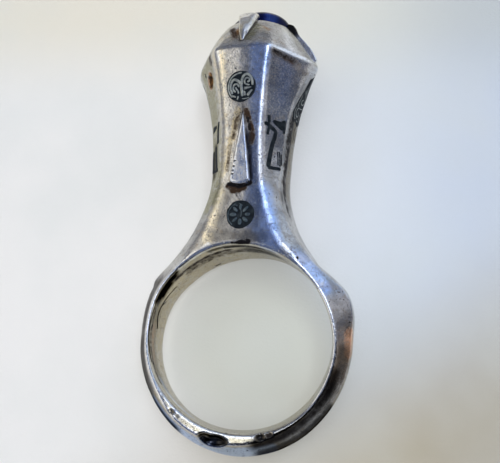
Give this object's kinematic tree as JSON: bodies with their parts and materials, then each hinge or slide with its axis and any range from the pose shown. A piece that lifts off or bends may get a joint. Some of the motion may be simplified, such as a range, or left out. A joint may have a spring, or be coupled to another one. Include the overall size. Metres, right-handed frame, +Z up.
{
  "type": "sapphire ring",
  "caption": "Old silver finger ring whose hoop rises into a tall waisted faceted tower with dark inlays, claws and a domed blue stone on top",
  "frame": {"origin": "on the surface the ring lies on, under the middle of its box", "axes": "+Y up the tower towards the stone, +Z up from the surface through the ring's front face, +X to the right seen from the front"},
  "size_m": [0.0228, 0.05, 0.0137],
  "materials": {
    "silver": "tarnished and worn",
    "niello": "dull",
    "sapphire": "polished"
  },
  "bodies": {
    "root": {"ring_body": "silver", "sapphire": "sapphire", "niello_front_upper": "niello", "niello_front_lower": "niello", "niello_back_upper": "niello", "niello_back_lower": "niello", "niello_stem_right_front": "niello", "niello_stem_left_front": "niello", "niello_stem_right_back": "niello", "niello_stem_left_back": "niello", "niello_band_right": "niello", "niello_band_left": "niello"}
  },
  "joints": []
}
